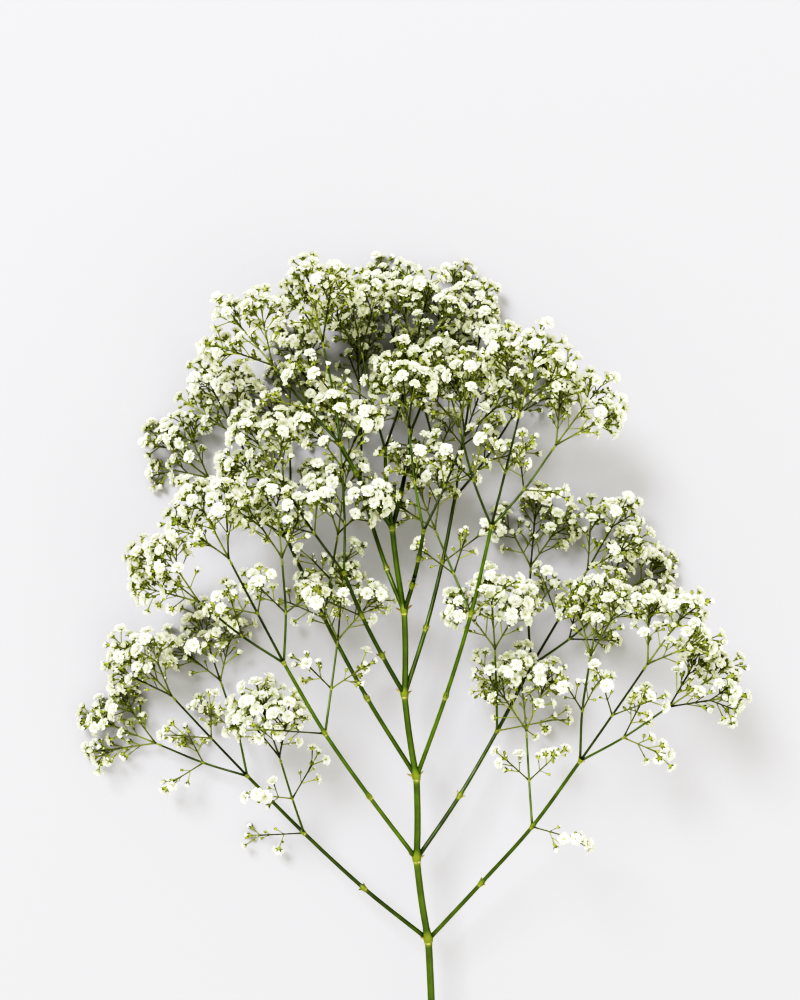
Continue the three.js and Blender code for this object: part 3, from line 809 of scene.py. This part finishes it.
def leaf_scales(skin):
    """Scales at the stalk's joints, and smaller ones at the joints and forks of the branches."""
    kind = STALK_SCALE
    for n, (point, tip, size) in enumerate(plant["bracts"]):
        scale_leaf(skin, kind, point, unit(tip - point), size * kind["length"], size * kind["width"], n)
    kind = BRANCH_SCALE
    for n, branch in enumerate(plant["branches"]):
        for k, point in enumerate(branch["points"][1:]):
            axis = unit(point - branch["points"][k])
            for side in BOTH_SIDES:
                direction = fork(axis, kind["angle"], kind["rolls"][(n + k) % 3] + side)
                length = kind["length"] - kind["shorter"] * k
                scale_leaf(skin, kind, point, direction, length, kind["width"], n + k)
    kind = TWIG_SCALE
    for n, twig in enumerate(plant["twigs"]):
        before, point = twig["points"][:2]
        direction = fork(unit(point - before), kind["angle"], kind["rolls"][n % 3])
        scale_leaf(skin, kind, point, direction, kind["length"], kind["width"], n)


# ---------------------------------------------------------------- heads
WHOLE_TURN = 6.28  # radians
# A petal's half width along its length, and the ranges and shares of its ruffle, cup and notched edge.
PETAL = dict(widths_at=(0, 0.38, 0.75, 1), widths=(0.3, 0.8, 1, 0.84), ruffle=(0.14, 0.36), waves=3.2,
             cupping=(0.1, 0.5), notch=0.12, notch_width=0.4, shoulders=0.12)
# How far the petals of one whorl differ: in azimuth (radians), lean at foot and tip (degrees) and size.
LOOSE = dict(azimuth=0.16, lean=(6, 14), size=(0.88, 1.1))


def petal(azimuth, foot, lean, size, grid, rng):
    """A petal's grid of points and masks. foot is (radius, height), lean its angle from the axis at foot
    and tip in degrees, size its (length, width)."""
    rows, columns = grid
    t = np.linspace(0, 1, rows)[:, None]
    u = np.linspace(-1, 1, columns)[None, :]
    angle = np.radians(mix(lean[0], lean[1], t))
    steps = np.diff(t, axis=0, prepend=0) * size[0]
    radius = foot[0] + np.cumsum(np.sin(angle) * steps, axis=0)
    height = foot[1] + np.cumsum(np.cos(angle) * steps, axis=0)
    half = size[1] / 2 * np.interp(t, PETAL["widths_at"], PETAL["widths"])
    depth = rng.uniform(*PETAL["ruffle"]) * t
    ruffle = depth * np.sin(rng.uniform(0, WHOLE_TURN) + PETAL["waves"] * u + 2 * t)
    lift = rng.uniform(*PETAL["cupping"]) * u * u * half + ruffle
    notch = PETAL["notch"] * np.exp(-((u / PETAL["notch_width"]) ** 2))
    back = (t == 1) * size[0] * (notch + PETAL["shoulders"] * np.abs(u) ** 3)
    out = radius - np.cos(angle) * lift - np.sin(angle) * back
    up = height + np.sin(angle) * lift - np.cos(angle) * back
    side = u * half
    c, s = math.cos(azimuth), math.sin(azimuth)
    points = np.stack([c * out - s * side, s * out + c * side, up], axis=2).reshape(-1, 3)
    return points, np.repeat(t.ravel(), columns)


def petals_of(whorls, rng):
    """One skin of several whorls of petals: (count, foot, lean, size, grid)."""
    parts, first = [], 0
    for count, foot, lean, size, grid in whorls:
        turn = rng.uniform(0, WHOLE_TURN)
        for k in range(count):
            azimuth = turn + 2 * math.pi * k / count + rng.uniform(-LOOSE["azimuth"], LOOSE["azimuth"])
            leans = [degrees + rng.uniform(-by, by) for degrees, by in zip(lean, LOOSE["lean"])]
            grown = np.array(size) * rng.uniform(*LOOSE["size"])
            points, tips = petal(azimuth, foot, leans, grown, grid, rng)
            tone = np.full(len(points), rng.random())
            parts.append((points, grid_triangles(*grid, False) + first, tips, tone))
            first += len(points)
    return tuple(np.concatenate(group) for group in zip(*parts))


def lathe(profile, sides, teeth=None):
    """A cup round +Z through (height, radius) rows. teeth, two such pairs, adds a row of tips and notches."""
    angles = np.arange(sides) * (2 * math.pi / sides)
    ring = np.stack([np.cos(angles), np.sin(angles), np.zeros(sides)], 1)
    rows = [ring * r + UP * z for z, r in profile]
    if teeth:
        (tooth_z, tooth_r), (notch_z, notch_r) = teeth
        even = np.arange(sides) % 2 == 0
        row = ring * np.where(even, tooth_r, notch_r)[:, None]
        row[:, 2] = np.where(even, tooth_z, notch_z)
        rows.append(row)
    tips = np.repeat(np.linspace(0, 0.5, len(profile)), sides)
    if teeth:
        tips = np.concatenate([tips, np.where(even, 1.0, 0.5)])
    return np.concatenate(rows), grid_triangles(len(rows), sides, True), tips


SHAPES = np.random.default_rng(5)
# Whorls from the outside in: petals, foot's (radius, height), (lean at foot, at tip), (length, width), and
# (rows, columns) of each petal's grid.
FULL_PETALS = [petals_of([
    (9, (0.8, 1.5), (42, 99), (3.4, 2.6), (4, 5)),
    (7, (0.7, 1.7), (30, 84), (3.4, 2.5), (4, 4)),
    (6, (0.5, 1.9), (18, 72), (3.3, 2.2), (3, 4)),
    (5, (0.35, 2.0), (6, 60), (3.2, 2.0), (3, 4)),
    (3, (0.1, 2.0), (-6, 50), (3.1, 1.8), (3, 3)),
], SHAPES) for _ in range(8)]
SIDE_PETALS = [petals_of([
    (7, (0.75, 1.5), (40, 96), (3.5, 2.7), (3, 4)),
    (6, (0.6, 1.7), (26, 78), (3.4, 2.5), (3, 3)),
    (5, (0.4, 1.9), (10, 62), (3.4, 2.4), (3, 3)),
    (2, (0.1, 2.0), (-4, 46), (3.3, 2.2), (3, 3)),
], SHAPES) for _ in range(8)]
HALF_PETALS = [petals_of([
    (5, (0.7, 1.4), (26, 14), (2.9, 2.1), (3, 4)),
    (4, (0.4, 1.5), (12, -6), (2.8, 1.7), (3, 3)),
], SHAPES) for _ in range(4)]
OPEN_CALYX = lathe([(-0.1, 0.26), (0.3, 0.7), (1.5, 1.1)], 10, ((2.1, 2.6), (1.6, 1.25)))
SIDE_CALYX = lathe([(-0.1, 0.3), (1.3, 1.15)], 10, ((2.1, 2.75), (1.6, 1.3)))
HALF_CALYX = lathe([(-0.1, 0.26), (1.3, 1.0)], 10, ((2.8, 1.8), (1.7, 1.15)))
BUD_CALYX = lathe([(-0.1, 0.24), (0.7, 0.82), (1.4, 0.78)], 6, ((2.3, 0.45), (1.6, 0.7)))
BUD_TIP = lathe([(1.3, 0.64), (2.1, 0.54), (2.6, 0.05)], 5)


def placed(shape, seat, direction, size, turn):
    """A head's shape turned about its axis, sized and set on its seat."""
    across = unit(np.cross(direction, UP)) if abs(direction[2]) < 0.999 else np.array([1.0, 0, 0])
    other = np.cross(direction, across)
    c, s = math.cos(turn), math.sin(turn)
    basis = np.stack([across * c + other * s, other * c - across * s, direction])
    return seat + (shape * size) @ basis


# A fine shoot: its radii at foot and tip, the sides of its skin and the range of its tone.
TWIGLET_SHOOT = dict(radii=(0.42, 0.36), sides=7, tones=(0.05, 0.45))
BLOOM_SHOOT = dict(radii=(0.3, 0.25), sides=6, tones=(0.1, 0.6))
SPRIG_SHOOT = dict(radii=(0.36, 0.3), sides=6, tones=(0.05, 0.5))
SIDE_SHOOTS = [dict(radii=(thick, thick), sides=sides, tones=(0.25, 0.9), stretches=stretches)
               for thick, sides, stretches in ((0.24, 4, 2), (0.22, 4, 1), (0.19, 3, 1))]
SWELLING_AT_FOOT, SWELLING_AT_SEAT = 1.35, 1.25
ARRIVAL = 0.55  # how far before its seat a pedicel already points along the head, as a share of its span
BENT_WAY, STRAIGHT_WAY = 0.4, 0.45
STUB_RADII, STUB_KNOTS = (0.44, 0.44, 0.62, 0.5), (0, 0, 1, 1)
KNOT_RADII, KNOT_KNOTS = (0.36, 0.54, 0.4), (0.3, 1, 0.6)
BLOOM_SIZES = (0.88, 1.05)


def spray_skins(spray, index):
    """The white and the green skin of one spray."""
    white, green = Skin(), Skin()
    rng = np.random.default_rng(100 + index)

    def pedicel(start, seat, direction, radii, sides, tones, stretches=2):
        """A thin stalk that sets out a little off its way and comes to its seat along direction."""
        bent = seat - direction * np.linalg.norm(seat - start) * ARRIVAL
        middle = mix(start, bent, BENT_WAY) + mix(start, seat, STRAIGHT_WAY) * 0.5 - start * 0.5
        line, share = curve([start, middle, seat], stretches)
        thickness = mix(*radii, share)
        thickness[0] *= SWELLING_AT_FOOT
        thickness[-1] *= SWELLING_AT_SEAT
        tube(green, line, thickness, sides, 0.0, rng.uniform(*tones))

    def add(skin, shape, seat, direction, size, turn, tone):
        points, triangles, tips = shape
        skin.add(placed(points, seat, direction, size, turn), triangles, tips, tone)

    def head(kind, cup, shapes, seat, direction, size):
        """A head in its calyx, or a bud with its petals' tip showing."""
        turn = rng.uniform(0, WHOLE_TURN)
        if kind == BUD:
            add(green, BUD_CALYX, seat, direction, size, turn, rng.uniform(0.5, 1))
            add(white, BUD_TIP, seat, direction, size, turn, rng.random())
            return
        add(green, cup, seat, direction, size, turn, rng.uniform(0.6, 1))
        points, triangles, tips, tones = shapes[rng.integers(len(shapes))]
        add(white, (points, triangles, tips), seat, direction, size, turn, tones)

    root, axis, knot = spray["root"], spray["axis"], spray["knot"]
    stub = [root - axis * 0.5, root + axis * 1.2, knot, knot + axis * 0.4]
    tube(green, stub, STUB_RADII, ROUND["stub"], STUB_KNOTS, 0.5)
    for twiglet in spray["twiglets"]:
        tip, direction = twiglet["tip"], twiglet["direction"]
        pedicel(knot, tip, direction, **TWIGLET_SHOOT)
        knob = [tip - direction * 0.6, tip, tip + direction * 0.4]
        tube(green, knob, KNOT_RADII, ROUND["knot"], KNOT_KNOTS, 0.5)
        for bloom in twiglet["blooms"]:
            pedicel(tip, bloom["seat"], bloom["direction"], **BLOOM_SHOOT)
            size = rng.uniform(*BLOOM_SIZES) * (1 - YOUNG["smaller"] * spray["young"])
            head(OPEN, OPEN_CALYX, FULL_PETALS, bloom["seat"], bloom["direction"], size)
    for sprig in spray["sprigs"]:
        pedicel(sprig["joint"], sprig["tip"], sprig["direction"], **SPRIG_SHOOT)
    for side in spray["sides"]:
        kind, seat, direction = side["kind"], side["seat"], side["direction"]
        pedicel(side["start"], seat, direction, **SIDE_SHOOTS[kind])
        cup, shapes = (SIDE_CALYX, SIDE_PETALS) if kind == OPEN else (HALF_CALYX, HALF_PETALS)
        head(kind, cup, shapes, seat, direction, rng.uniform(*HEAD_SIZE[kind]))
    return white, green


# ---------------------------------------------------------------- shared surface effects
def group(name, inputs, output, kind):
    """An empty shader node group with float or colour inputs and one output."""
    tree = bpy.data.node_groups.new(name, "ShaderNodeTree")
    for title, form, value in inputs:
        socket = tree.interface.new_socket(title, in_out="INPUT", socket_type=form)
        socket.default_value = value
    tree.interface.new_socket(output, in_out="OUTPUT", socket_type=kind)
    return tree, tree.nodes.new("NodeGroupInput"), tree.nodes.new("NodeGroupOutput")


def feed(node, inputs):
    """Gives a node's inputs their values, or links them to another node's outputs."""
    for socket, source in inputs.items():
        if isinstance(source, bpy.types.NodeSocket):
            node.id_data.links.new(source, node.inputs[socket])
        else:
            node.inputs[socket].default_value = source


def mottle_group():
    """Two shades mixed by a soft noise and by each piece's own tone: grown colour on the stalk and shoots,
    painted shade on the petals.
    """
    tree, into, out = group("plant_mottle", [
        ("Light shade", "NodeSocketColor", (1, 1, 1, 1)), ("Dark shade", "NodeSocketColor", (0, 0, 0, 1)),
        ("Tone", "NodeSocketFloat", 0.5), ("Patches per metre", "NodeSocketFloat", 300),
        ("Patchiness", "NodeSocketFloat", 0.5)], "Color", "NodeSocketColor")
    place = tree.nodes.new("ShaderNodeTexCoord")
    noise = tree.nodes.new("ShaderNodeTexNoise")
    scale = into.outputs["Patches per metre"]
    feed(noise, {"Detail": 3, "Vector": place.outputs["Object"], "Scale": scale})
    centred = tree.nodes.new("ShaderNodeMath")
    centred.operation = "SUBTRACT"
    feed(centred, {0: noise.outputs["Fac"], 1: 0.5})
    share = tree.nodes.new("ShaderNodeMath")
    share.operation = "MULTIPLY_ADD"
    share.use_clamp = True
    feed(share, {0: centred.outputs[0], 1: into.outputs["Patchiness"], 2: into.outputs["Tone"]})
    blend = tree.nodes.new("ShaderNodeMix")
    blend.data_type = "RGBA"
    shades = {"A": into.outputs["Dark shade"], "B": into.outputs["Light shade"]}
    feed(blend, {"Factor": share.outputs[0], **shades})
    feed(out, {"Color": blend.outputs["Result"]})
    return tree


def grain_group():
    """Fine plant grain as a surface normal; a small lengthwise scale makes long fibres."""
    tree, into, out = group("plant_grain", [
        ("Fibre place", "NodeSocketVector", (0, 0, 0)), ("Grains per metre", "NodeSocketFloat", 2000),
        ("Lengthwise", "NodeSocketFloat", 1.0), ("Depth", "NodeSocketFloat", 0.0001)],
        "Normal", "NodeSocketVector")
    stretch = tree.nodes.new("ShaderNodeCombineXYZ")
    feed(stretch, {"X": 1, "Y": into.outputs["Lengthwise"], "Z": 1})
    along = tree.nodes.new("ShaderNodeVectorMath")
    along.operation = "MULTIPLY"
    feed(along, {0: into.outputs["Fibre place"], 1: stretch.outputs[0]})
    noise = tree.nodes.new("ShaderNodeTexNoise")
    feed(noise, {"Detail": 4, "Vector": along.outputs[0], "Scale": into.outputs["Grains per metre"]})
    bump = tree.nodes.new("ShaderNodeBump")
    feed(bump, {"Height": noise.outputs["Fac"], "Distance": into.outputs["Depth"]})
    feed(out, {"Normal": bump.outputs["Normal"]})
    return tree


MOTTLE = mottle_group()
GRAIN = grain_group()


def shade(hex_code):
    """A linear colour from its usual hex code."""
    parts = [int(hex_code[i:i + 2], 16) / 255 for i in (1, 3, 5)]
    return tuple(p / 12.92 if p <= 0.04045 else ((p + 0.055) / 1.055) ** 2.4 for p in parts) + (1.0,)


class Finish:
    """A material with a Principled surface, and the few nodes that every plant surface needs."""

    def __init__(self, name, roughness, specular=0.5):
        self.material = bpy.data.materials.new(name)
        self.material.use_nodes = True
        self.tree = self.material.node_tree
        self.surface = self.tree.nodes["Principled BSDF"]
        feed(self.surface, {"Roughness": roughness, "Specular IOR Level": specular})

    def attribute(self, name, kind="Fac"):
        """A mask that the piece's points carry."""
        node = self.tree.nodes.new("ShaderNodeAttribute")
        node.attribute_name = name
        return node.outputs[kind]

    def mottled(self, light, dark, per_metre, patchiness):
        """Two shades, as hex codes, in patches."""
        node = self.tree.nodes.new("ShaderNodeGroup")
        node.node_tree = MOTTLE
        feed(node, {"Light shade": shade(light), "Dark shade": shade(dark), "Tone": self.attribute("tone"),
                    "Patches per metre": per_metre, "Patchiness": patchiness})
        return node.outputs["Color"]

    def grain(self, per_metre, lengthwise, depth):
        """Fine grain in the surface, depth in metres."""
        node = self.tree.nodes.new("ShaderNodeGroup")
        node.node_tree = GRAIN
        feed(node, {"Fibre place": self.attribute("fibre", "Vector"), "Grains per metre": per_metre,
                    "Lengthwise": lengthwise, "Depth": depth})
        feed(self.surface, {"Normal": node.outputs["Normal"]})

    def ramp(self, value, stops):
        """Levels of grey along a value, from its stops: (place, level)."""
        node = self.tree.nodes.new("ShaderNodeValToRGB")
        feed(node, {"Fac": value})
        ramp = node.color_ramp
        for n, (place, level) in enumerate(stops):
            stop = ramp.elements[n] if n < 2 else ramp.elements.new(place)
            stop.position = place
            stop.color = (level, level, level, 1)
        return node.outputs["Color"]

    def mixed(self, share, a, b):
        """The colour a where share is 0 and b where it is 1; b may be a hex code."""
        node = self.tree.nodes.new("ShaderNodeMix")
        node.data_type = "RGBA"
        feed(node, {"Factor": share, "A": a, "B": shade(b) if isinstance(b, str) else b})
        return node.outputs["Result"]

    def tipped(self, shades, stops, tip_colour):
        """Colours the surface in mottled shades that turn to another colour along the tip mask."""
        base = self.mottled(*shades)
        colour = self.mixed(self.ramp(self.attribute("tip"), stops), base, tip_colour)
        feed(self.surface, {"Base Color": colour})
        return colour

    def let_light_through(self, colour, share):
        """A thin sheet that also shows the light falling on its other side."""
        through = self.tree.nodes.new("ShaderNodeBsdfTranslucent")
        both = self.tree.nodes.new("ShaderNodeMixShader")
        feed(through, {"Color": colour})
        feed(both, {"Fac": share, 1: self.surface.outputs["BSDF"], 2: through.outputs["BSDF"]})
        feed(self.tree.nodes["Material Output"], {"Surface": both.outputs["Shader"]})


def petal_finish():
    """Thin matt white petals, faintly green and creamy at the foot, with painted shade mottled over them."""
    finish = Finish("petal_white", 0.62, 0.25)
    # The darker shade #EAECD5 is painted shade: mixed in fine patches and per petal, it stands in for the
    # shade between ruffled petals.
    colour = finish.tipped(("#FEFEF6", "#EAECD5", 1100, 1.1), [(0.0, 0.9), (0.28, 0.0)], "#D3D99A")
    finish.grain(5200, 1.0, 0.00012)
    finish.let_light_through(colour, 0.4)
    return finish.material


def shoot_finish():
    """Pedicels, calyces and buds: fresh green, with dark tips on the calyx teeth and at the knots."""
    finish = Finish("shoot_green", 0.5)
    finish.tipped(("#989F4C", "#141B05", 700, 0.45), [(0.46, 0.0), (0.75, 0.95)], "#0F1403")
    finish.grain(4200, 0.6, 0.00008)
    return finish.material


def stalk_finish():
    """Stalk and branches: deep glossy green, yellower at the swollen joints, each with a pale seam."""
    finish = Finish("stalk_green", 0.36)
    green = finish.mottled("#5F7310", "#172103", 120, 0.7)
    swelling = finish.attribute("tip")
    knuckled = finish.ramp(swelling, [(0.05, 0.0), (0.4, 0.8)])
    seam = finish.ramp(swelling, [(0.6, 0.0), (0.95, 1.0)])
    flecks = finish.mottled("#C6BF90", "#5B5A22", 900, 3.0)
    knuckled_green = finish.mixed(knuckled, green, "#6F7826")
    feed(finish.surface, {"Base Color": finish.mixed(seam, knuckled_green, flecks)})
    finish.grain(1500, 0.06, 0.00018)
    return finish.material


def scale_finish():
    """Dried leaf scales, straw-coloured at the foot and brown at the tip."""
    finish = Finish("dry_leaf_scale", 0.75)
    finish.tipped(("#B4A874", "#6A5E38", 500, 0.8), [(0.3, 0.0), (1.0, 0.8)], "#3B3220")
    finish.grain(2400, 0.3, 0.0002)
    return finish.material


def cut_finish():
    """The cut end: pale pith with a green rim."""
    finish = Finish("cut_pith", 0.8)
    finish.tipped(("#D6D2A4", "#A9A772", 1800, 0.8), [(0.6, 0.0), (0.95, 1.0)], "#4C5A20")
    finish.grain(5200, 1.0, 0.0001)
    return finish.material


# ---------------------------------------------------------------- the pieces
PETAL_WHITE = petal_finish()
SHOOT_GREEN = shoot_finish()

stem_skin = Skin()
stalk_skin(stem_skin)
for number, branch in enumerate(plant["branches"]):
    branch_skin(stem_skin, branch, number)
for number, twig in enumerate(plant["twigs"]):
    twig_skin(stem_skin, twig, number)
stem_fine = stem_skin.piece("stem_fine", stalk_finish())
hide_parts("stem")

scales_skin = Skin()
leaf_scales(scales_skin)
scales_skin.piece("leaf_scales", scale_finish())

cut_skin = Skin()
cut_face(cut_skin)
cut_skin.piece("cut_face", cut_finish())

for index, spray in enumerate(plant["sprays"]):
    white, green = spray_skins(spray, index)
    blooms = white.piece(spray["name"] + "_blooms", PETAL_WHITE)
    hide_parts(spray["name"])
    green.piece(spray["name"] + "_green", SHOOT_GREEN)


# ---------------------------------------------------------------- floor, light and camera
FLOOR_HALF = 4.0
FLOOR_Z = -0.0002
LIGHT_AIM = (0, 0.15, 0)  # the middle of the sprays
TONES = ((0.05, 0.006), (0.15, 0.068), (0.3, 0.285), (0.5, 0.6), (0.75, 0.848), (0.9, 0.937))


def plain_finish(name, colour):
    """One colour all over, nearly without a sheen."""
    finish = Finish(name, 0.85, 0.1)
    feed(finish.surface, {"Base Color": shade(colour)})
    return finish.material


floor_mesh = bpy.data.meshes.new("floor")
corners = [(FLOOR_HALF * x, FLOOR_HALF * y, FLOOR_Z) for x, y in ((-1, -1), (1, -1), (1, 1), (-1, 1))]
floor_mesh.from_pydata(corners, [], [(0, 1, 2, 3)])
floor_mesh.materials.append(plain_finish("pale_floor", "#ABAAAE"))
floor = bpy.data.objects.new("floor", floor_mesh)
bpy.context.scene.collection.objects.link(floor)


def soft_light(name, place, size, power, colour):
    """A round soft lamp that shines on the sprays."""
    data = bpy.data.lights.new(name, "AREA")
    data.shape = "DISK"
    data.size = size
    data.energy = power
    data.color = colour
    lamp = bpy.data.objects.new(name, data)
    lamp.location = place
    lamp.rotation_euler = (Vector(LIGHT_AIM) - Vector(place)).to_track_quat("-Z", "Y").to_euler()
    bpy.context.scene.collection.objects.link(lamp)


soft_light("window_light", (-2.0, 3.1, 4.2), 2.2, 300, (0.98, 0.985, 1.09))
soft_light("fill_light", (2.2, -0.9, 3.0), 2.4, 18, (1.0, 1.0, 1.0))

world = bpy.data.worlds.new("studio")
world.use_nodes = True
feed(world.node_tree.nodes["Background"], {"Color": (1.0, 0.99, 0.89, 1), "Strength": 1.27})
bpy.context.scene.world = world


def set_tones(view):
    """Plain display colours with a gentle S in the tones: deep greens and clean whites."""
    view.view_transform = "Standard"
    view.use_curve_mapping = True
    curve_of_all = view.curve_mapping.curves[3]
    for light, shown in TONES:
        curve_of_all.points.new(light, shown)
    view.curve_mapping.update()


set_tones(bpy.context.scene.view_settings)

camera_data = bpy.data.cameras.new("camera")
camera_data.lens = 50
camera_data.sensor_fit = "VERTICAL"
camera_data.sensor_height = 36
camera = bpy.data.objects.new("camera", camera_data)
camera.location = (0.0, 0.216, 0.70)  # above the sprays, looking straight down
camera.rotation_euler = (0, 0, 0)
bpy.context.scene.collection.objects.link(camera)
bpy.context.scene.camera = camera
